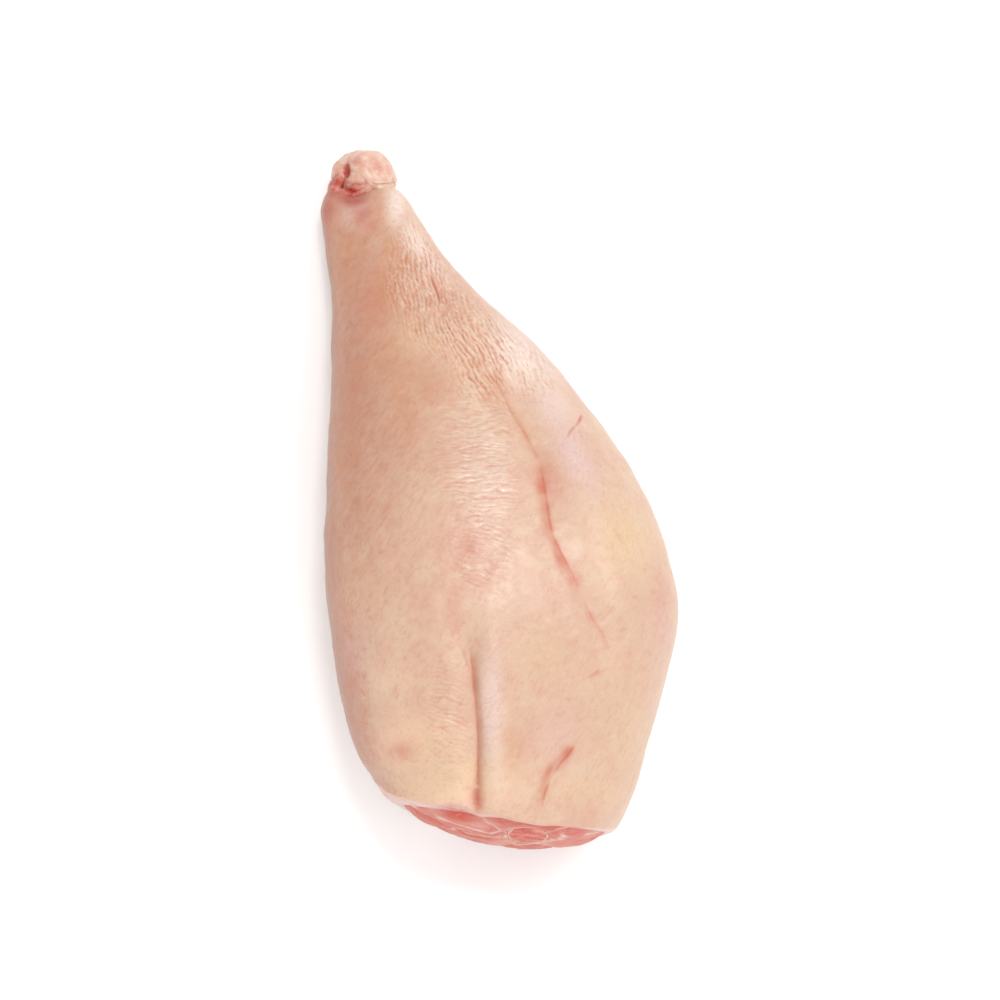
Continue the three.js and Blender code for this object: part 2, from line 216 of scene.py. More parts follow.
# Tinted patches of the skin, in millimetres seen from above: middle, reach, strength and any turn.
TINTS = {
    # Painted shade: greyer, darker patches, most of them on the right towards the butt.
    "dull_painted_shade": [
        (36, -130, 44, 44, 0.6), (60, -60, 26, 40, 0.4), (100, -90, 30, 60, 0.4),
        (-66, 60, 30, 60, 0.5), (76, -170, 30, 40, 0.5),
    ],
    # Painted light: brighter, warmer patches near the butt end and on the shank and knee.
    "warm_painted_light": [
        (-60, -196, 30, 22, 0.8), (-30, -224, 34, 16, 1.0), (-74, -150, 20, 20, 0.3),
        (-46, 158, 9, 40, 0.4, -12), (-22, 96, 18, 26, 0.5, -25),
    ],
    # Partly browner skin, partly painted shade on the left side.
    "shade": [
        (-112, 60, 44, 130, 1.0), (-110, 160, 34, 60, 0.7), (-128, -80, 30, 110, 0.8),
        (-85, 20, 34, 60, 0.6),
    ],
    "ruddy": [
        (-126, 207, 9, 17, 0.9), (-107, 221, 11, 7, 1.0), (-121, 226, 9, 12, 1.0),
        (-99, 203, 7, 9, 0.5), (-92, 192, 5, 6, 0.45), (-64, -198, 11, 7, 0.5),
        (-100, -149, 11, 9, 0.45), (-14, -80, 22, 14, 0.3), (118, -92, 8, 30, 0.35),
        (38, -8, 9, 16, 0.5, -10), (52, -78, 6, 12, 0.45, -25), (-14, -62, 20, 22, 0.35),
        (47, -203, 5, 9, 0.3, 35), (-13, -231, 3.5, 9, 0.9), (-43, 150, 10, 32, 0.35, -14),
        (-90, 128, 16, 20, 0.35), (-105, -110, 18, 40, 0.3), (-28, -98, 6, 22, 0.3),
    ],
    "tan": [
        (-79, 138, 17, 27, 0.8), (-76, 170, 7, 22, 0.7, -12), (-70, 84, 26, 36, 0.5),
        (-64, 46, 13, 34, 0.5, -15), (-2, 58, 10, 28, 0.6, -20), (12, -200, 7, 18, 0.4),
        (-106, 10, 16, 60, 0.3), (-88, 205, 8, 14, 0.5), (-112, -60, 14, 40, 0.25),
        (-28, 122, 20, 34, 0.3, -25), (18, 30, 6, 20, 0.5, -30), (-112, 165, 18, 40, 0.5),
        (-48, 60, 18, 20, 0.5), (34, -134, 26, 28, 0.25),
    ],
    "honey": [
        (92, -52, 26, 30, 0.9), (-54, 100, 18, 15, 0.6), (-14, 74, 14, 22, 0.4),
        (-30, -218, 40, 16, 0.8), (-98, -95, 22, 24, 0.5), (88, -178, 24, 40, 0.4),
        (66, -225, 30, 10, 0.5), (30, -132, 24, 22, 0.35), (-44, -200, 26, 24, 0.6),
    ],
    # Painted highlight: pale patches on lit, glossy skin, along the shank and hock, on the crest, the
    # knee, beside the flank and on the lip of the tail fold.
    "pale": [
        (17, 88, 17, 28, 1.0, -35), (-52, 172, 7, 30, 1.0, -33), (-73, 212, 7, 20, 0.9),
        (-3, -172, 7, 36, 0.5), (-4, -14, 18, 66, 0.35), (40, 50, 12, 22, 0.6, -30),
    ],
    "lilac": [
        (56, 8, 11, 27, 1.0, -25), (42, 44, 9, 22, 0.7, -20), (-105, 207, 12, 14, 0.5),
        (44, -190, 14, 24, 0.3), (-1, -166, 6, 30, 0.7), (30, 98, 12, 20, 0.5, -40),
        (118, -110, 8, 22, 0.3), (-100, -130, 18, 28, 0.35),
    ],
    "flesh": [
        (-106, 219, 12, 8, 1.0), (-119, 227, 9, 11, 1.0), (-127, 211, 6, 10, 0.6),
        (-97, 204, 6, 7, 0.4),
    ],
    "wet": [
        (-10, 0, 30, 66, 0.9), (22, 82, 20, 34, 1.0, -35), (54, 14, 15, 34, 0.9, -25),
        (-3, -172, 9, 44, 0.8), (-58, 165, 16, 44, 0.9, -25), (-14, -68, 26, 28, 0.35),
        (-30, -180, 20, 44, 0.4), (-20, 110, 26, 34, 0.6, -25),
    ],
}


def merged_form(node, stored):
    """A frame node's form as a bmesh, with its loose triangles merged and joined to quads."""
    form = bmesh.new()
    for name in stored:
        form.verts.layers.float.new(name)
    form.from_mesh(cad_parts[node].data)
    bmesh.ops.remove_doubles(form, verts=form.verts[:], dist=MERGED_WITHIN)
    bmesh.ops.join_triangles(
        form, faces=form.faces[:], angle_face_threshold=QUADS_BEND, angle_shape_threshold=QUADS_SKEW
    )
    form.normal_update()
    return form


def cut_in_two(form, edges):
    """Cuts edges in the middle, and the faces between them into smaller ones."""
    bmesh.ops.subdivide_edges(form, edges=list(edges), cuts=1, use_grid_fill=True)


def smooth_target(form, hidden_wall):
    """A search tree of a form's smooth surface where it shows, which stays sharp where two walls meet."""
    sharpness = form.edges.layers.float.new("crease_edge")
    for edge in form.edges:
        if len({face.material_index for face in edge.link_faces}) > 1:
            edge[sharpness] = 1
    mesh = bpy.data.meshes.new("smooth_target")
    form.to_mesh(mesh)
    form.edges.layers.float.remove(sharpness)
    holder = add_object("smooth_target", mesh)
    rounder = holder.modifiers.new("rounder", "SUBSURF")
    rounder.levels = rounder.render_levels = TARGET_LEVELS
    rounded = holder.evaluated_get(bpy.context.evaluated_depsgraph_get())
    target = bmesh.new()
    target.from_mesh(rounded.to_mesh())
    rounded.to_mesh_clear()
    unseen = [face for face in target.faces if face.material_index == hidden_wall]
    bmesh.ops.delete(target, geom=unseen, context="FACES")
    tree = BVHTree.FromBMesh(target)
    target.free()
    bpy.data.objects.remove(holder)
    bpy.data.meshes.remove(mesh)
    return tree


def draw_onto(verts, tree):
    """Moves vertices to the nearest points of a surface."""
    for vert in verts:
        vert.co = tree.find_nearest(vert.co)[0]


def bell(value, reach=1.0):
    return np.exp(-((value / reach) ** 2))


def ramp(low, high, value):
    """0 up to low and 1 from high on, with a soft rise between; low may be the larger one."""
    share = np.clip((value - low) / (high - low), 0, 1)
    return share * share * (3 - 2 * share)


SEEDS_APART = 17.3


def noise_at(places, size, seed):
    """Smooth noise from -1 to 1 at rows of places, for lumps of about a size."""
    return np.array([noise.noise(Vector(place)) for place in places / size + SEEDS_APART * seed])


def add_lumps(lift, places, lumps, first_seed):
    """Adds lumps of several sizes, each with its height, to how far places are lifted."""
    for seed, (size, rise) in enumerate(lumps, first_seed):
        lift += rise * noise_at(places, size, seed)


def smooth_path(points, steps=12):
    """Closely spaced spots on a smooth curve through given points."""
    points = np.array(points, float)
    ends = np.vstack([2 * points[0] - points[1], points, 2 * points[-1] - points[-2]])
    spots = []
    for before, start, end, after in zip(ends, ends[1:], ends[2:], ends[3:]):
        for t in np.arange(steps) / steps:
            swing = (end - before) * t + (2 * before - 5 * start + 4 * end - after) * t**2
            spots.append(start + 0.5 * (swing + (3 * start - 3 * end + after - before) * t**3))
    return np.array(spots + [points[-1]])


def along_fold(path, across):
    """For places in a plane: how far they are left of a path, and their share of its way."""
    spots = smooth_path(path)
    apart = np.linalg.norm(across[:, None, :] - spots[None, :-1, :], axis=2)
    near = apart.argmin(axis=1)
    heading = spots[near + 1] - spots[near]
    heading /= np.linalg.norm(heading, axis=1)[:, None]
    offset = across - spots[near]
    beside = heading[:, 0] * offset[:, 1] - heading[:, 1] * offset[:, 0]
    past = np.abs((heading * offset).sum(axis=1))
    side = np.where(beside < 0, -1, 1)
    end = (near == 0) | (near == len(spots) - 2)
    beside = np.where(end, side * np.hypot(beside, past), beside)
    return beside, near / (len(spots) - 2)


def fold_relief(places, folds):
    """How far folds lift or sink a surface, in millimetres, and how strongly each place is creased."""
    lift = np.zeros(len(places))
    crease = np.zeros(len(places))
    for special in folds.values():
        fold = {**USUAL_FOLD, **special}
        beside, share = along_fold(fold["path"], places[:, :2])
        strength = ramp(*fold["rise"], share) * ramp(*fold["fall"], share)
        ragged = 1 + FOLD_RAGGED["by"] * noise_at(places, FOLD_RAGGED["size"], 3)
        blotches = noise_at(places, FOLD_BLOTCHES["size"], 4)
        blotches = 1 + fold["blotchy"] * FOLD_BLOTCHES["by"] * blotches
        onto_lip = np.maximum(0, beside * fold["side"])
        lift -= strength * ragged * fold["depth"] * np.exp(-np.abs(beside) / fold["core"])
        lift += strength * fold["lip"] * (1 - bell(onto_lip, fold["wall"])) * bell(onto_lip, fold["roll"])
        # Red-brown in the crease and a weaker band beside it, towards the lip: partly the skin's redness
        # and partly painted shade in the fold.
        line = bell(beside, fold["core"])
        aside = beside * fold["side"] - STAIN_AND_SHADE_BESIDE * fold["stain_and_shade"]
        stain_and_shade = STAIN_AND_SHADE_SHARE * bell(aside, fold["stain_and_shade"])
        crease = np.maximum(crease, strength * blotches * fold["crease"] * np.maximum(line, stain_and_shade))
    return lift, crease


def field_weight(field, across):
    """How much of a field of wrinkles is at each place seen from above; nothing far out."""
    off = (across - field["at"]) / field["reach"]
    weight = np.exp(-((off**2).sum(axis=1) ** FIELD_EDGE))
    return np.clip(FIELD_GAIN * (weight - WRINKLED) / (1 - WRINKLED), 0, 1)


def run_of(field):
    return "lengthwise" if abs(field["run"]) < 45 else "crosswise"


def wrinkle_relief(places):
    """How far fine wrinkles lift the skin, in millimetres, and masks of their zones, of their valleys'
    painted shade and their ridges' painted highlight.
    """
    lift = np.zeros(len(places))
    marks = {name: np.zeros(len(places)) for name in ("valley_shade", "ridges", *ROWS)}
    sway = sum(by * noise_at(places, size, 5 + number) for number, (size, by) in enumerate(WAVERS))
    for seed, field in enumerate(WRINKLES.values()):
        weight = field_weight(field, places[:, :2])
        inside = weight > 0
        turn = math.radians(field["run"])
        run = np.array([math.sin(turn), math.cos(turn)])
        spots = places[inside]
        along = spots[:, :2] @ run
        across = spots[:, :2] @ np.array([run[1], -run[0]])
        zone = run_of(field)
        rows = (across + sway[inside] * ROWS[zone]["sway"]) / field["spacing"]
        web = np.stack([WEB_PITCH * rows, along / field["length"], spots[:, 2] / WEB_HEIGHT], axis=1)
        wave = WAVE_MIDDLE + ROWS[zone]["regular"] * np.cos(2 * math.pi * rows)
        wave += ROWS[zone]["ragged"] * noise_at(web, 1, seed + 20)
        wave += FINER_WEB["share"] * noise_at(web * FINER_WEB["finer"], 1, seed + 30)
        patchy = PATCHY["middle"] + PATCHY["swing"] * noise_at(spots, PATCHY["size"], seed + 40)
        share = weight[inside] * np.clip(patchy, PATCHY["least"], PATCHY["most"])
        lift[inside] += share * field["depth"] * (np.clip(wave, WAVE_FLOOR, 1) - WAVE_MIDDLE)
        share = share * min(1, field["depth"] / COLOURED_DEPTH) ** 2 * ROWS[zone]["colour"]
        for name, part in (("valley_shade", VALLEY_WAVE), ("ridges", RIDGE_WAVE)):
            marks[name][inside] = np.maximum(marks[name][inside], share * ramp(*part, wave))
        marks[zone] = np.maximum(marks[zone], weight * ramp(*STREAKED_DEPTH, field["depth"]))
    return lift, marks


def patches_at(spots, patches):
    """How strongly patches cover places in a plane: each has its middle, reach, strength and any turn."""
    strength = np.zeros(len(spots))
    for across, up, wide, high, most, *turn in patches:
        angle = math.radians(sum(turn))
        turned = [[math.cos(angle), math.sin(angle)], [-math.sin(angle), math.cos(angle)]]
        off = (spots - (across, up)) @ np.array(turned) / (wide, high)
        strength = np.maximum(strength, most * bell(np.linalg.norm(off, axis=1)))
    return strength


def places_of(verts):
    """Where vertices are, in rows of millimetres."""
    return np.array([v.co for v in verts]) / MM


def raise_by(verts, lift):
    """Moves vertices out of the surface by so many millimetres."""
    for vert, rise in zip(verts, lift):
        vert.co += vert.normal * float(rise * MM)


def keep_in_box(verts):
    """Holds vertices inside the CAD model's box, so that nothing grows past it."""
    for vert in verts:
        vert.co = [min(max(value, low), high) for value, low, high in zip(vert.co, cad_low, cad_high)]


def store(form, name, verts, values):
    """Writes a value for each of some vertices, under a name that the materials read."""
    layer = form.verts.layers.float[name]
    for vert, value in zip(verts, values):
        vert[layer] = float(value)


def finished_piece(form, name, node, materials):
    """Makes the smooth-shaded object of a form, which stands for its CAD node."""
    mesh = bpy.data.meshes.new(name)
    form.to_mesh(mesh)
    form.free()
    mesh.shade_smooth()
    for material in materials:
        mesh.materials.append(material)
    piece = add_object(name, mesh)
    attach(piece, "root")
    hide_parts(node)


def mark_jacket_walls(form):
    """Sorts the jacket's faces into skin, bare fat at both ends, and what is hidden inside."""
    inner = []
    for node in ("lean_meat", "leg_bone"):
        solid = bmesh.new()
        solid.from_mesh(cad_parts[node].data)
        inner.append(BVHTree.FromBMesh(solid))
        solid.free()
    for face in form.faces:
        middle = face.calc_center_median()
        at_end = min(middle.y - cad_low.y, cad_high.y - middle.y) < RIM_WITHIN
        touched = [tree.find_nearest(middle, CONTACT)[1] for tree in inner]
        if any(normal and normal.dot(face.normal) < AGAINST for normal in touched):
            face.material_index = HIDDEN_WALL
        elif at_end and abs(face.normal.y) > RIM_FACING:
            face.material_index = FAT_WALL
        else:
            face.material_index = SKIN_WALL


def tree_of(verts):
    """A search tree of where some vertices are."""
    tree = KDTree(len(verts))
    for index, vert in enumerate(verts):
        tree.insert(vert.co, index)
    tree.balance()
    return tree


def sink_hidden(form, shown_verts, by):
    """Moves what doesn't show, away from its border, so that it can't come through a wall that shows."""
    kept = set(shown_verts)
    border = tree_of([v for v in kept if any(e.other_vert(v) not in kept for e in v.link_edges)])
    for vert in form.verts:
        if vert not in kept:
            vert.co += vert.normal * float(by * ramp(SUNK_FROM, SUNK_TO, border.find(vert.co)[2]))


def on_walls(items, *walls):
    """The edges or vertices that touch some walls."""
    return [item for item in items if any(face.material_index in walls for face in item.link_faces)]


skin_marks = ["creased", "valley_shade", "ridges", "lengthwise", "crosswise", "far_left_shade", *TINTS]
jacket = merged_form("skin_and_fat", [*skin_marks, "from_skin", "bloody"])
mark_jacket_walls(jacket)
jacket_target = smooth_target(jacket, HIDDEN_WALL)
fold_spots = np.concatenate([smooth_path(fold["path"]) for fold in FOLDS.values()])

# Longest edges of the skin's mesh: shares of the spacing of wrinkles across them and along them, and
# in millimetres by the folds, on the rest of the upper side, and on the side that the leg lies on.
ACROSS_SHARE, ALONG_SHARE = 0.31, 0.62
BY_FOLDS, PLAIN_EDGE, UNDER_EDGE = 1.1, 3.2, 7
FOLD_REACH = 4.5
MOSTLY_ALONG = 0.7
REFININGS = 4


def too_long(edges):
    """The edges that are longer than the relief at their place allows."""
    ends = np.array([[v.co for v in edge.verts] for edge in edges]) / MM
    middle = ends.mean(axis=1)
    apart = ends[:, 1] - ends[:, 0]
    length = np.linalg.norm(apart, axis=1)
    lengthwise_edge = np.abs(apart[:, 1]) > MOSTLY_ALONG * length
    below = np.array([edge.verts[0].normal.z for edge in edges]) < 0
    most = np.where(below, UNDER_EDGE, PLAIN_EDGE)
    for field in WRINKLES.values():
        near = ~below & (field_weight(field, middle[:, :2]) > 0)
        across = lengthwise_edge != (run_of(field) == "lengthwise")
        allowed = np.where(across, ACROSS_SHARE, ALONG_SHARE) * field["spacing"]
        most = np.where(near, np.minimum(most, allowed), most)
    to_fold = np.full(len(edges), np.inf)
    for spot in fold_spots[::3]:
        to_fold = np.minimum(to_fold, np.hypot(*(middle[:, :2] - spot).T))
    near = ~below & (to_fold < FOLD_REACH)
    most = np.where(near, BY_FOLDS, most)
    return [edge for edge, long in zip(edges, length > most) if long]


for _ in range(REFININGS):
    cut_in_two(jacket, too_long(on_walls(jacket.edges, SKIN_WALL, FAT_WALL)))
    jacket.normal_update()
shown = on_walls(jacket.verts, SKIN_WALL, FAT_WALL)
draw_onto(shown, jacket_target)
sink_hidden(jacket, shown, HIDDEN_SUNK)
jacket.normal_update()

skin_verts = on_walls(jacket.verts, SKIN_WALL)
places = places_of(skin_verts)
upward = np.array([v.normal.z for v in skin_verts])
rightward = np.array([v.normal.x for v in skin_verts])
upper = ramp(*UPPER_SIDE, upward)
fold_lift, creased = fold_relief(places, FOLDS)
wrinkle_lift, marks = wrinkle_relief(places)
lift = upper * (fold_lift + wrinkle_lift)
add_lumps(lift, places, LUMPS, 60)
raise_by(skin_verts, lift)
for mark, values in {"creased": creased, **marks}.items():
    store(jacket, mark, skin_verts, upper * values)
# Painted shade: the shade tint, partly browner skin and partly painted shade, also grows on faces turned
# to the left, and a darker painted shade is stored for the far left sides.
for tint, patches in TINTS.items():
    strength = ramp(*TINTED_SIDE, upward) * patches_at(places[:, :2], patches)
    if tint == "shade":
        strength = np.maximum(strength, ramp(*SHADED_SIDE, rightward))
    store(jacket, tint, skin_verts, strength)
store(jacket, "far_left_shade", skin_verts, ramp(*FAR_SIDE, rightward))

# The edge of the skin is softened at both ends. The knife left it wavy at the butt and it is torn at
# the hock, where it bares the flesh at one place. Each shift is given by where it is across the leg,
# how far it reaches, how far it moves the edge along the leg, and how deep into the bare fat.
EDGE_SHIFTS = {
    "butt": [(-25, 11, 2.4, 5), (24, 16, -1.8, 5), (-98, 20, 6, 40)],
    "hock": [(-104, 10, -4, 4), (-124, 7, 5, 8), (-86, 7, 2, 3)],
}
SHIFT_FADES = 15
SHIFT_HEIGHTS = {"butt": (30, 60), "hock": (30, 48)}
EDGE_SMOOTHINGS = 4
HOCK_EDGE = {"within": 55 * MM, "reach": 8, "along": 2.6, "out": 0.5, "size": 6}
BUTT_BLOOD = [
    (-26, 121, 11, 7, 0.85), (-88, 84, 16, 14, 0.45), (4, 122, 12, 6, 0.35), (48, 115, 20, 7, 0.5),
    (-66, 104, 12, 5, 0.35),
]
HOCK_BLOOD = [(-106, 222, 12, 9, 0.9), (-119, 228, 8, 12, 1.0), (-90, 230, 7, 5, 0.3)]

edge_verts = on_walls(skin_verts, FAT_WALL)
for _ in range(EDGE_SMOOTHINGS):
    bmesh.ops.smooth_vert(
        jacket, verts=edge_verts, factor=0.5, use_axis_x=True, use_axis_y=True, use_axis_z=True
    )
edge_tree = tree_of(edge_verts)
jacket.normal_update()
skin_set = set(skin_verts)
for end, shifts in EDGE_SHIFTS.items():
    end_verts = [v for v in shown if (v.co.y > 0) == (end == "hock")]
    end_places = places_of(end_verts)
    to_edge = np.array([edge_tree.find(v.co)[2] for v in end_verts]) / MM
    on_skin = np.array([v in skin_set for v in end_verts])
    for across, reach, along, into_fat in shifts:
        share = np.exp(-(((end_places[:, 0] - across) / reach) ** 4))
        share *= ramp(*SHIFT_HEIGHTS[end], end_places[:, 2])
        share *= np.where(on_skin, bell(to_edge, SHIFT_FADES), bell(to_edge, into_fat))
        for vert, moved in zip(end_verts, share * along):
            vert.co.y += float(moved * MM)
hock_verts = [v for v in shown if v.co.y > cad_high.y - HOCK_EDGE["within"]]
torn = noise_at(places_of(hock_verts), HOCK_EDGE["size"], 70)
edge_tree = tree_of(edge_verts)
for vert, tear in zip(hock_verts, torn):
    near_edge = max(0, 1 - edge_tree.find(vert.co)[2] / MM / HOCK_EDGE["reach"])
    pull = HOCK_EDGE["out"] * vert.normal + Vector((0, HOCK_EDGE["along"], 0))
    vert.co += pull * (near_edge * float(tear) * MM)
fat_verts = on_walls(jacket.verts, FAT_WALL)
store(jacket, "from_skin", fat_verts, [edge_tree.find(v.co)[2] / MM for v in fat_verts])
rim_places = places_of(fat_verts)
butt_blood = patches_at(rim_places[:, [0, 2]], BUTT_BLOOD)
hock_blood = patches_at(rim_places[:, :2], HOCK_BLOOD)
store(jacket, "bloody", fat_verts, np.where(rim_places[:, 1] < 0, butt_blood, hock_blood))
keep_in_box(shown)


class Wire:
    """A socket of a material's nodes. A formula on wires adds the Math nodes that it needs."""

    def __init__(self, tree, socket=None):
        self.tree = tree
        self.socket = socket

    def node(self, kind, settings=None, sockets=None, output=0):
        """Adds a node, sets it, fills its sockets with values or wires, and gives one of its outputs."""
        added = self.tree.nodes.new("ShaderNode" + kind)
        for setting, value in (settings or {}).items():
            setattr(added, setting, value)
        for name, value in (sockets or {}).items():
            if isinstance(value, Wire):
                self.tree.links.new(value.socket, added.inputs[name])
            else:
                added.inputs[name].default_value = value
        return Wire(self.tree, added.outputs[output])

    def maths(self, operation, *others):
        return self.node("Math", {"operation": operation}, dict(enumerate((self, *others))))

    def __add__(self, other):
        return self.maths("ADD", other)

    def __sub__(self, other):
        return self.maths("SUBTRACT", other)

    def __rsub__(self, other):
        return self * -1 + other

    def __mul__(self, other):
        return self.maths("MULTIPLY", other)

    __radd__ = __add__
    __rmul__ = __mul__

    def between(self, low, high):
        """Rises softly from 0 at low to 1 at high."""
        sockets = {"Value": self, "From Min": low, "From Max": high}
        return self.node("MapRange", {"interpolation_type": "SMOOTHSTEP"}, sockets)

    def mixed(self, dark, light):
        """A colour between two others, as this share says."""
        return self.node("Mix", {"data_type": "RGBA"}, {0: self, 6: dark, 7: light}, output=2)

    def coated(self, *coats):
        """This colour, changed towards others one after another, where the mask of each says so."""
        colour = self
        for tone, mask in coats:
            colour = mask.mixed(colour, tone)
        return colour

    def mark(self, name):
        """One of the values stored at the vertices."""
        return self.node("Attribute", {"attribute_name": name}, output="Fac")

    def clouds(self, place, size, detail=3, roughness=0.5):
        """Soft noise from 0 to 1 at a place, for lumps of a size in metres."""
        sockets = {"Vector": place, "Scale": 1 / size, "Detail": detail, "Roughness": roughness}
        return self.node("TexNoise", {}, sockets)

    def cells(self, place, size):
        """Distance from the middle of scattered cells of a size in metres, in cells."""
        return self.node("TexVoronoi", {}, {"Vector": place, "Scale": 1 / size})

    def along(self, place, run=0, stretch=(1, 1, 1)):
        """A place whose patterns are stretched along an axis, in degrees from +Y towards +X."""
        sockets = {"Vector": place, "Rotation": (0, 0, math.radians(-run)), "Scale": stretch}
        return self.node("Mapping", {"vector_type": "TEXTURE"}, sockets)

    def relief(self, height, strength):
        """The normal of a surface with fine relief on it, whose height is in millimetres."""
        return self.node("Bump", {}, {"Strength": strength, "Distance": MM, "Height": height})

    def streaks(self, place, run, size, length):
        """Noise from 0 to 1 in streaks of a size, as many sizes long, which run one way."""
        return self.clouds(self.along(place, run, (1, length, 1)), size, detail=2)


def new_material(name):
    """An empty material and the wire that its nodes start from."""
    material = bpy.data.materials.new(name)
    material.use_nodes = True
    material.node_tree.nodes.clear()
    return material, Wire(material.node_tree)


def finish_material(start, sockets):
    """Ends a material in one surface shader."""
    surface = start.node("BsdfPrincipled", {}, sockets)
    ending = start.tree.nodes.new("ShaderNodeOutputMaterial")
    start.tree.links.new(surface.socket, ending.inputs["Surface"])


# How much the scene's light brightens a surface that faces it, and what its gloss adds.
LIGHT_LEVEL = 1.36
GLOSS_ADDS = 0.04


def rgb(red, green, blue):
    """A colour picked as it shows in the picture, 0 to 255, as the shader's own linear one."""
    shares = [value / 255 for value in (red, green, blue)]
    linear = [s / 12.92 if s <= 0.04045 else ((s + 0.055) / 1.055) ** 2.4 for s in shares]
    return (*[max(0, value - GLOSS_ADDS) / LIGHT_LEVEL for value in linear], 1)


SKIN_COLOUR = rgb(225, 183, 158)
SKIN_MOTTLE = rgb(229, 197, 168)
SKIN_BLUSH = rgb(219, 167, 147)
# Pale blotches of the skin, and painted highlight on the ridges of its wrinkles.
SKIN_PALE_AND_HIGHLIGHT = rgb(248, 226, 208)
# Tones of the tints. The shade tone is partly browner skin and partly painted shade, the dull tone is
# painted shade, the warm tone painted light, and the pale tone painted highlight.
SKIN_TINTS = {
    "dull_painted_shade": rgb(217, 184, 162), "warm_painted_light": rgb(255, 213, 184), "shade": rgb(202, 146, 122),
    "tan": rgb(212, 150, 112), "honey": rgb(232, 198, 162),
    "pale": rgb(250, 229, 215), "lilac": rgb(232, 199, 190), "ruddy": rgb(212, 130, 112),
    "flesh": rgb(184, 96, 86),
}
# Painted shade, for the left side in dark blotches and for its far edge.
SKIN_SHADE_COLOUR = rgb(176, 128, 106)
# Red-brown of the folds: partly the skin's redness, partly painted shade in the creases.
CREASE_RED_AND_SHADE = rgb(204, 108, 76)
# Painted shade in the valleys of the wrinkles, and the fine hatch marks of the skin.
VALLEY_SHADE_COLOUR = rgb(210, 138, 104)
FOLLICLE_COLOUR = rgb(168, 112, 96)
BRISTLE_RUN = 28
MOISTURE = {"coat": 0.1, "wet_coat": 0.6, "coat_roughness": 0.2}
FLESH_GLOW = {
    "Subsurface Weight": 0.22, "Subsurface Radius": (1.0, 0.42, 0.26), "Subsurface Scale": 2 * MM,
}

# Scalded skin: mottled honey and pink, with follicles, fine creases and a moist gloss. Its colour also
# holds painted shade, on the left side, in wrinkle valleys and in creases, and painted light, on
# wrinkle ridges and in some patches.
pork_skin, start = new_material("pork_skin")
place = start.node("TexCoord", output="Object")
mottle = start.clouds(place, 34 * MM, detail=4, roughness=0.6)
blush = start.clouds(start.along(place, 20, (1, 1.5, 1)), 11 * MM, detail=5, roughness=0.65)
blot = start.clouds(place, 6.5 * MM, detail=4, roughness=0.6)
freckle = start.clouds(place, 3.2 * MM, detail=3, roughness=0.65)
lengthwise = start.streaks(place, -18, 1.5 * MM, 5)
crosswise = start.streaks(place, 88, 1.6 * MM, 4)
hatch = start.streaks(place, 36, 2.0 * MM, 4)
bristles = start.cells(start.along(place, BRISTLE_RUN, (1, 3.2, 1)), 3.3 * MM)
shade = start.mark("shade")
long_zone = start.mark("lengthwise")
cross_zone = start.mark("crosswise")
# Painted shade in the valleys of the wrinkles, with the fine hatch marks of the skin, stronger on the
# shaded left side; then painted highlight on the wrinkles' ridges.
valley_shade_and_marks = start.mark("valley_shade") * 0.6 + lengthwise.between(0.48, 0.36) * long_zone * 0.45
valley_shade_and_marks = valley_shade_and_marks + crosswise.between(0.46, 0.34) * cross_zone * 0.2
valley_shade_and_marks = valley_shade_and_marks + hatch.between(0.47, 0.32) * (0.18 + 0.5 * shade)
ridge = start.mark("ridges") * 0.28 + lengthwise.between(0.54, 0.66) * long_zone * 0.4
ridge = ridge + crosswise.between(0.56, 0.7) * cross_zone * 0.2
patchy = 0.4 + 0.7 * blush + 0.6 * blot
tinted = [
    (tone, (start.mark(tint) * patchy).maths("MINIMUM", 1)) for tint, tone in SKIN_TINTS.items()
]
colour = mottle.between(0.35, 0.68).mixed(SKIN_COLOUR, SKIN_MOTTLE).coated(
    (SKIN_BLUSH, blush.between(0.4, 0.75) * 0.5),
    *tinted,
    # Tan blotches of the skin on its left side, then painted shade there in dark blotches and on its far
    # edge.
    (SKIN_TINTS["tan"], blush.between(0.48, 0.66) * shade * 0.6),
    (SKIN_SHADE_COLOUR, blot.between(0.5, 0.72) * shade * 0.35),
    (SKIN_SHADE_COLOUR, start.mark("far_left_shade") * 0.6),
    (SKIN_TINTS["ruddy"], blot.between(0.52, 0.74) * 0.24 + freckle.between(0.56, 0.74) * 0.1),
    (SKIN_PALE_AND_HIGHLIGHT, blot.between(0.44, 0.28) * (1 - shade) * 0.14),
    (VALLEY_SHADE_COLOUR, valley_shade_and_marks),
    (SKIN_PALE_AND_HIGHLIGHT, ridge),
    (CREASE_RED_AND_SHADE, start.mark("creased").between(0.03, 0.95) * 0.85),
    (FOLLICLE_COLOUR, bristles.between(0.13, 0.06) * blush.between(0.42, 0.6) * 0.4),
)
streak = lengthwise * long_zone + crosswise * cross_zone
height = start.clouds(place, 1.0 * MM) * 0.08 + freckle * 0.25 + blot * 0.5 + streak * 0.6 + hatch * 0.1
film = start.clouds(place, 7 * MM, detail=4, roughness=0.6).between(0.3, 0.65)
wet = start.mark("wet") * film
finish_material(start, {
    "Base Color": colour, "Roughness": 0.4 + 0.1 * freckle - 0.16 * wet,
    "Specular IOR Level": 0.75, "Normal": start.relief(height, 0.9),
    "Coat Weight": MOISTURE["coat"] + MOISTURE["wet_coat"] * wet,
    "Coat Roughness": MOISTURE["coat_roughness"], **FLESH_GLOW,
})

FAT_COLOUR = rgb(238, 204, 194)
FAT_BLUSH = rgb(230, 180, 170)
FAT_BLOOD = rgb(214, 104, 92)
RIND_COLOUR = rgb(232, 188, 160)

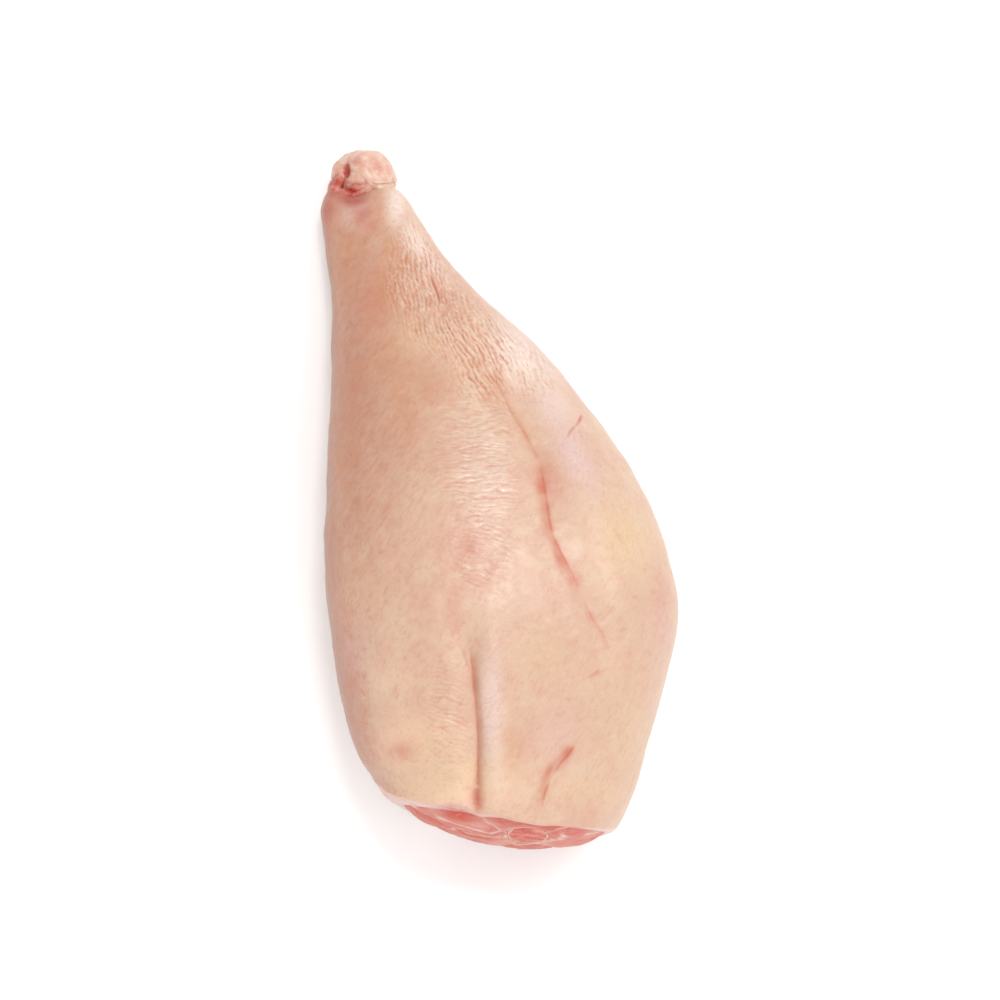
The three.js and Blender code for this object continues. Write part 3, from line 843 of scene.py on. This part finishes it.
# Cut fat: pale and waxy, in soft streaks, with the thin rind along its outer edge.
cut_fat, start = new_material("cut_fat")
place = start.node("TexCoord", output="Object")
lobes = start.clouds(place, 6 * MM, detail=4, roughness=0.6)
streak = start.clouds(start.along(place, 80, (1, 4, 1)), 3 * MM)
depth = start.mark("from_skin") + lobes * 0.8
colour = (lobes * 0.6 + streak * 0.4).between(0.4, 0.66).mixed(FAT_COLOUR, FAT_BLUSH).coated(
    (FAT_BLOOD, start.mark("bloody") * (0.5 + streak)),
    (RIND_COLOUR, depth.between(1.9, 1.1) * 0.6),
)
finish_material(start, {
    "Base Color": colour, "Roughness": 0.28 + 0.2 * lobes, **FLESH_GLOW,
    "Normal": start.relief(lobes * 0.5 + streak * 0.2, 0.7),
})

jacket.normal_update()
jacket_tree = BVHTree.FromBMesh(jacket)
finished_piece(
    jacket, "skin_and_fat_jacket", "skin_and_fat", [pork_skin, cut_fat, cut_fat]
)

# Lean meat. The butt end of the ham muscles, cut across by the knife: each muscle domes out of the
# cut a little, and pale seams of fat part them. Only this cut face shows; the fat hides the rest.
CUT_FACING, CUT_WITHIN = -0.5, 45 * MM
MUSCLES = [(-56, 58), (-24, 98), (-22, 48), (16, 110), (54, 88), (58, 44), (20, 16), (-28, 16)]
RAW_ACROSS = 3.5
SEAM_WIDTH = 4.5
SEAM_DEPTH = 1.0
SEAM_FAT_RISE = 0.4
SEAM_WARP = {"size": 22, "by": 9}
SEAM_WANDER = {"size": 9, "by": 2.5}
SEAM_FAT = {"half": 2.0, "swing": 1.3, "size": 15}
TONE_STEP = 0.37
FIBRE_LUMPS = ((9, 0.5), (3.5, 0.22))
LEAN_STEPS = 3

# Thin seams that run across the muscles, and bloodier and paler patches, across and up the cut.
CUT_SEAMS = {
    "upper seam": dict(
        path=[(-44, 106), (-34, 103), (-26, 101), (-12, 98), (0, 91), (10, 88)], width=2.2,
    ),
    "lower seam": dict(path=[(-30, 92), (-16, 88), (-2, 82), (8, 74)], width=1.0),
    "seam past the bone": dict(
        path=[(46, 110), (48, 96), (42, 82), (33, 58), (20, 48), (6, 46)], width=1.8,
    ),
    "right seam": dict(path=[(62, 100), (74, 84), (92, 74)], width=1.0),
}
LEAN_PATCHES = {
    "bloody": [
        (-26, 118, 11, 8, 0.95), (-32, 103, 7, 4, 0.7), (4, 114, 5, 5, 0.6), (42, 102, 9, 8, 0.4),
        (58, 96, 8, 9, 0.35), (-10, 84, 16, 7, 0.35),
    ],
    "fatty": [
        (-8, 112, 15, 9, 0.6), (12, 104, 6, 9, 0.6), (-44, 112, 9, 8, 0.6), (36, 56, 8, 22, 0.4),
        (6, 60, 10, 16, 0.35), (-70, 102, 12, 5, 0.7), (24, 112, 8, 5, 0.5), (78, 92, 20, 9, 0.6),
    ],
}


def wander_at(places, seed, size, by):
    """How far places of the cut wander in its plane."""
    return np.stack([noise_at(places, size, seed), noise_at(places, size, seed + 1)], axis=1) * by


def seam_distance(places):
    """How far each place of the cut is from the seam between its muscle and the next, and which it is."""
    warp = wander_at(places, 80, **SEAM_WARP)
    middles = np.array(MUSCLES, float) + (RAW_ACROSS, 0)
    apart = np.linalg.norm(places[:, None, [0, 2]] + warp[:, None, :] - middles[None], axis=2)
    order = np.sort(apart, axis=1)
    return order[:, 1] - order[:, 0], apart.argmin(axis=1)


lean = merged_form("lean_meat", ["seam", "muscle", *LEAN_PATCHES])
lean_front = cad_low.y + CUT_WITHIN
for face in lean.faces:
    cut = face.normal.y < CUT_FACING and face.calc_center_median().y < lean_front
    face.material_index = 0 if cut else 1
lean_target = smooth_target(lean, 1)
for _ in range(LEAN_STEPS):
    cut_in_two(lean, on_walls(lean.edges, 0))
cut_verts = on_walls(lean.verts, 0)
draw_onto(cut_verts, lean_target)
lean.normal_update()
places = places_of(cut_verts)
between, muscle = seam_distance(places)
seam = bell(between, SEAM_FAT["half"] + SEAM_FAT["swing"] * noise_at(places, SEAM_FAT["size"], 84))
on_cut = places[:, [0, 2]] + wander_at(places, 85, **SEAM_WANDER)
for thread in CUT_SEAMS.values():
    beside, share = along_fold(thread["path"], on_cut)
    ends = ramp(0, 0.12, share) * ramp(1, 0.88, share)
    seam = np.maximum(seam, ends * bell(beside, thread["width"]))
seam *= np.clip(0.75 + 0.8 * noise_at(places, 8, 87) + 0.4 * noise_at(places, 3.5, 88), 0.3, 1)
lift = -SEAM_DEPTH * bell(between, SEAM_WIDTH) + SEAM_FAT_RISE * seam
add_lumps(lift, places, FIBRE_LUMPS, 90)
cut_rim = set(on_walls(cut_verts, 1))
for vert, rise in zip(cut_verts, lift):
    if vert not in cut_rim:
        vert.co.y -= rise * MM
sink_hidden(lean, cut_verts, -HIDDEN_SUNK)
store(lean, "seam", cut_verts, seam)
store(lean, "muscle", cut_verts, (muscle * TONE_STEP) % 1)
for name, patches in LEAN_PATCHES.items():
    store(lean, name, cut_verts, patches_at(on_cut, patches))
keep_in_box(cut_verts)

LEAN_COLOUR = rgb(216, 122, 108)
LEAN_PALE = rgb(230, 154, 138)
LEAN_DEEP = rgb(196, 94, 82)
LEAN_BLOOD = rgb(216, 88, 70)
SEAM_COLOUR = rgb(246, 214, 200)

# Cut muscle: moist pink-red in bundles of fibres, paler in some muscles, with fine marbling.
lean_pork, start = new_material("lean_pork")
place = start.node("TexCoord", output="Object")
clouds = start.clouds(place, 14 * MM, detail=4, roughness=0.6)
blood = start.clouds(place, 26 * MM)
grain = start.clouds(start.along(place, 90, (1, 3.5, 1)), 1.6 * MM)
veins = start.clouds(start.along(place, 75, (1, 2.4, 1)), 9 * MM, detail=5, roughness=0.62)
marbling = (veins - 0.5).maths("ABSOLUTE").between(0.014, 0)
seams = start.mark("seam")
tone = start.mark("muscle") * 0.5 + clouds
colour = tone.between(0.45, 1.3).mixed(LEAN_COLOUR, LEAN_PALE).coated(
    (LEAN_DEEP, blood.between(0.5, 0.7) * 0.55),
    (LEAN_DEEP, grain.between(0.5, 0.3) * 0.3),
    (LEAN_PALE, grain.between(0.52, 0.7) * 0.35),
    (LEAN_BLOOD, start.mark("bloody") * (0.6 + grain)),
    (SEAM_COLOUR, marbling * blood.between(0.4, 0.6) * 0.35),
    (SEAM_COLOUR, start.mark("fatty") * (0.1 + 0.9 * clouds)),
    (SEAM_COLOUR, seams * 0.85),
)
finish_material(start, {
    "Base Color": colour, "Roughness": 0.34 + 0.2 * clouds, "Specular IOR Level": 0.2,
    "Normal": start.relief(grain * 0.35 + seams * 0.3, 0.8), **FLESH_GLOW,
})
finished_piece(lean, "lean_butt_muscles", "lean_meat", [lean_pork, lean_pork])

# Bone. It runs through the lean, sawn flat at the butt, where a pale ring holds red marrow. At the hock
# its joint end is bare, under wet gristle in folds and rolls, with blood on its left side.
HOCK_SHOWN = 60 * MM
SAWN_FACING = -0.7
SAW_DARK = [(-0.45, 0.75, 0.5, 0.3, 1.0), (0.0, 0.95, 0.5, 0.2, 0.8), (0.1, -0.1, 0.5, 0.3, 0.4)]
GRISTLE_LUMPS = ((13, 1.1), (6, 0.6), (2.6, 0.22))
BARE_FROM, BARE_TO = 40, 33
BONE_STEPS = 3
KNOTS = {"size": 3.1, "by": 0.3}
# Painted shade: the gristle darkens, up to the most, where a groove sinks about this deep, fading over
# this reach, in millimetres.
SHADED_GROOVES = {"depth": 1.2, "reach": 0.8, "most": 0.6}

# Grooves of the joint end, in millimetres seen from above, and its soft ridges, twice their half wide.
GRISTLE_FOLDS = {
    "red groove": dict(
        path=[(-111.5, 248), (-110.8, 243), (-110.5, 239), (-111.5, 234)], depth=2.2, core=1.6, lip=0.8,
        wall=2, roll=5, crease=1.3, stain_and_shade=2.5, rise=(0, 0.15), fall=(1, 0.8), blotchy=0.2,
    ),
    "groove above the skin": dict(
        path=[(-113, 232), (-107, 230), (-99, 229.5), (-94, 232)], depth=1.2, core=1.1, lip=0.6, roll=4,
        crease=0.5, stain_and_shade=2, rise=(0, 0.2), fall=(1, 0.8),
    ),
}
GRISTLE_RIDGES = [
    dict(
        path=[(-111, 246), (-104, 242), (-98.5, 239), (-94, 234.5), (-89.5, 229.5)], half=2.8,
        height=1.6,
    ),
    dict(path=[(-101, 246), (-94, 242), (-90.5, 236.5), (-84.5, 232.5)], half=2.0, height=1.3),
    dict(path=[(-94, 244), (-88, 242), (-84.5, 238)], half=1.4, height=0.9),
    dict(path=[(-105, 251), (-98, 249), (-93, 251)], half=1.8, height=0.8),
    dict(path=[(-120, 247), (-117, 242), (-119, 236)], half=4.5, height=1.6),
    dict(path=[(-86, 250), (-82, 244), (-79, 238)], half=2.0, height=1.0),
]
# Rolls of torn sinew on the joint end and over the edge of the skin: paths from above, or in space
# where they lie at the side, half thickness, and how much of it is sunk.
SINEWS = [
    dict(
        path=[(-95, 227), (-90, 227.5), (-85, 226.5), (-80, 228.5), (-76.5, 233.5), (-77, 239)],
        half=2.8, sunk=0.74,
    ),
    dict(path=[(-93, 233), (-88, 231), (-83, 232), (-79.5, 231)], half=1.9, sunk=0.72),
    dict(path=[(-120, 227), (-114, 223.5), (-107, 221.5), (-100, 223), (-95, 227)], half=3.2, sunk=0.7),
    dict(path=[(-112, 231), (-106, 227), (-100, 227), (-96, 229)], half=3.0, sunk=0.75),
    dict(
        path=[(-114, 246, 27), (-118.5, 238, 30), (-121.5, 229, 33), (-122, 219, 36)], half=4.2,
        sunk=0.5,
    ),
    dict(
        path=[(-112, 241, 39), (-116, 234, 42), (-118.5, 226, 44), (-118, 217, 46)], half=3.4, sunk=0.5,
    ),
]
GRISTLE_BLOTCHES = [
    (-111, 241, 3.2, 6, 1.0), (-118, 231, 8, 8, 1.0), (-107, 224, 13, 6.5, 1.0),
    (-103, 246, 5, 3.5, 0.45), (-88, 243, 5, 4, 0.25), (-122, 224, 7, 9, 0.9),
]


def ridge_relief(places, ridges):
    """How far soft ridges lift a surface, in millimetres."""
    lift = np.zeros(len(places))
    for ridge in ridges:
        beside, share = along_fold(ridge["path"], places[:, :2])
        ends = ramp(-0.05, 0.25, share) * ramp(1.05, 0.75, share)
        dome = np.clip(1 - (beside / ridge["half"]) ** 2, 0, 1) ** 0.8
        lift = np.maximum(lift, ends * ridge["height"] * dome)
    return lift


def roll_along(form, path, half):
    """Adds a tapered, slightly knotted roll whose middle follows spots in space."""
    spots = smooth_path(path, 6)
    made = bmesh.ops.create_uvsphere(form, u_segments=14, v_segments=3 * len(spots), radius=1)["verts"]
    for vert in made:
        round_share = vert.co.copy()
        way = (round_share.z + 1) / 2 * (len(spots) - 1)
        step = min(int(way), len(spots) - 2)
        heading = Vector(spots[step + 1] - spots[step]).normalized()
        middle = Vector(spots[step]).lerp(Vector(spots[step + 1]), way - step)
        beside = heading.cross((0, 0, 1)).normalized()
        thick = half * (1 + KNOTS["by"] * noise.noise(middle / KNOTS["size"]))
        place = middle + thick * (round_share.x * beside + round_share.y * beside.cross(heading))
        vert.co = place * MM
    faces = {face for vert in made for face in vert.link_faces}
    bmesh.ops.recalc_face_normals(form, faces=list(faces))
    return made


bone = merged_form("leg_bone", ["gristle_fold", "gristle_blood", "saw_out", "saw_dark"])
hock_from = cad_high.y - HOCK_SHOWN
for face in bone.faces:
    middle = face.calc_center_median()
    sawn = face.normal.y < SAWN_FACING and middle.y < lean_front
    face.material_index = 0 if middle.y > hock_from else (1 if sawn else 2)
bone_target = smooth_target(bone, 2)
for _ in range(BONE_STEPS):
    cut_in_two(bone, on_walls(bone.edges, 0, 1))
shown_bone = on_walls(bone.verts, 0, 1)
draw_onto(shown_bone, bone_target)
bone.normal_update()
head_verts = on_walls(bone.verts, 0)
places = places_of(head_verts)
facing_up = ramp(-0.1, 0.5, np.array([v.normal.z for v in head_verts]))
fold_lift, creased = fold_relief(places, GRISTLE_FOLDS)
lift = facing_up * (fold_lift + ridge_relief(places, GRISTLE_RIDGES))
add_lumps(lift, places, GRISTLE_LUMPS, 100)
tip = cad_high.y / MM
bare = ramp(tip - BARE_FROM, tip - BARE_TO, places[:, 1])
raise_by(head_verts, lift * bare)
bone.normal_update()
head_tree = BVHTree.FromBMesh(bone)
sinew_verts = []
for sinew in SINEWS:
    spots = []
    for across, along, *height in sinew["path"]:
        if height:
            spots.append((across, along, height[0]))
            continue
        above = Vector((across, along, 100)) * MM
        landed = [t.ray_cast(above, Vector((0, 0, -1)))[0] for t in (head_tree, jacket_tree)]
        top = max(spot.z for spot in landed if spot)
        spots.append((across, along, top / MM + sinew["half"] * (1 - 2 * sinew["sunk"])))
    sinew_verts += roll_along(bone, spots, sinew["half"])
keep_in_box(shown_bone + sinew_verts)
# Painted shade deep in the grooves, with the colour of their creases, partly their own red and partly
# painted shade, darkens the gristle.
sunk = SHADED_GROOVES["most"] * bell(lift + SHADED_GROOVES["depth"], SHADED_GROOVES["reach"])
store(bone, "gristle_fold", head_verts, bare * np.maximum(creased * facing_up, sunk))
all_head = on_walls(bone.verts, 0)
store(bone, "gristle_blood", all_head, patches_at(places_of(all_head)[:, :2], GRISTLE_BLOTCHES))
sawn_verts = on_walls(bone.verts, 1)
saw_middle = sum((v.co for v in sawn_verts), Vector()) / len(sawn_verts)
saw_places = np.array([(v.co.x - saw_middle.x, v.co.z - saw_middle.z) for v in sawn_verts])
saw_places /= np.abs(saw_places).max(axis=0)
store(bone, "saw_out", sawn_verts, np.hypot(*saw_places.T))
store(bone, "saw_dark", sawn_verts, patches_at(saw_places, SAW_DARK))

GRISTLE_COLOUR = rgb(236, 184, 162)
GRISTLE_IVORY = rgb(247, 214, 195)
GRISTLE_TAN = rgb(228, 168, 134)
GRISTLE_BLOOD = rgb(200, 84, 72)
# Dark red in the grooves: partly their own red, partly painted shade.
GRISTLE_DARK = rgb(184, 78, 64)
BONE_RIM_COLOUR = rgb(238, 192, 174)
MARROW_COLOUR = rgb(240, 124, 98)
MARROW_DARK = rgb(200, 70, 54)

# Joint end under wet gristle: pink and ivory folds, bloody on the left, with painted shade in its
# grooves.
gristle, start = new_material("gristle")
place = start.node("TexCoord", output="Object")
clouds = start.clouds(place, 7 * MM, detail=4, roughness=0.6)
spots = start.clouds(place, 3 * MM, roughness=0.6)
fine = start.clouds(place, 1.2 * MM)
colour = clouds.between(0.34, 0.66).mixed(GRISTLE_COLOUR, GRISTLE_IVORY).coated(
    (GRISTLE_TAN, spots.between(0.54, 0.7) * 0.5),
    (GRISTLE_BLOOD, start.mark("gristle_blood") * (0.5 + spots)),
    (GRISTLE_DARK, start.mark("gristle_fold").between(0.1, 0.9) * 0.7),
)
finish_material(start, {
    "Base Color": colour, "Roughness": 0.28 + 0.25 * clouds, **FLESH_GLOW,
    "Normal": start.relief(spots * 0.8 + fine * 0.25, 0.9),
})

# Sawn bone: a pale hard ring round open, blood-red marrow.
sawn_bone, start = new_material("sawn_bone")
place = start.node("TexCoord", output="Object")
holes = start.cells(place, 1.6 * MM)
clouds = start.clouds(place, 9 * MM)
rim = (start.mark("saw_out") + clouds * 0.3).between(1.06, 1.12) * (0.4 + clouds)
colour = clouds.between(0.42, 0.62).mixed(MARROW_COLOUR, MARROW_DARK).coated(
    (BONE_RIM_COLOUR, holes.between(0.35, 0.6) * 0.25),
    (MARROW_DARK, start.mark("saw_dark")),
    (BONE_RIM_COLOUR, rim),
)
finish_material(start, {
    "Base Color": colour, "Roughness": 0.35 + 0.2 * clouds, "Specular IOR Level": 0.3,
    "Normal": start.relief(holes * 0.2 + rim * 0.4, 0.8),
})
finished_piece(
    bone, "bone_and_gristle", "leg_bone", [gristle, sawn_bone, sawn_bone]
)

# Floor: a plain pale studio sweep, level with the underside of the leg.
FLOOR_HALF_SIZE = 4
FLOOR_COLOUR = (0.95, 0.95, 0.95, 1)

floor_form = bmesh.new()
bmesh.ops.create_grid(floor_form, x_segments=1, y_segments=1, size=FLOOR_HALF_SIZE)
floor_mesh = bpy.data.meshes.new("floor")
floor_form.to_mesh(floor_mesh)
floor_form.free()
floor = add_object("floor", floor_mesh)
floor_material, floor_start = new_material("floor")
finish_material(floor_start, {"Base Color": FLOOR_COLOUR, "Roughness": 0.8})
floor_mesh.materials.append(floor_material)

# Light: a bright white room, a soft lamp high up to the right, a small one overhead that glints on
# the wet skin, and a weak wide one over the butt.
ROOM_STRENGTH = 1.0
LAMPS = {
    "key": {"from": (0.62, 0.32, 0.72), "distance": 1.8, "size": 0.9, "power": 8.5},
    "overhead": {"from": (0.06, 0.26, 0.96), "distance": 1.7, "size": 0.34, "power": 7},
    "fill": {"from": (0.1, -0.8, 0.6), "distance": 1.8, "size": 1.4, "power": 8},
}

world = bpy.data.worlds.new("room")
world.use_nodes = True
background = world.node_tree.nodes["Background"].inputs
background["Color"].default_value = (1, 1, 1, 1)
background["Strength"].default_value = ROOM_STRENGTH
bpy.context.scene.world = world
for name, lamp in LAMPS.items():
    light = bpy.data.lights.new(name, "AREA")
    light.shape = "DISK"
    light.size = lamp["size"]
    light.energy = lamp["power"]
    holder = add_object(name, light)
    holder.location = aim + lamp["distance"] * Vector(lamp["from"]).normalized()
    holder.rotation_euler = (aim - holder.location).to_track_quat("-Z", "Y").to_euler()
bpy.context.scene.view_settings.view_transform = "Standard"
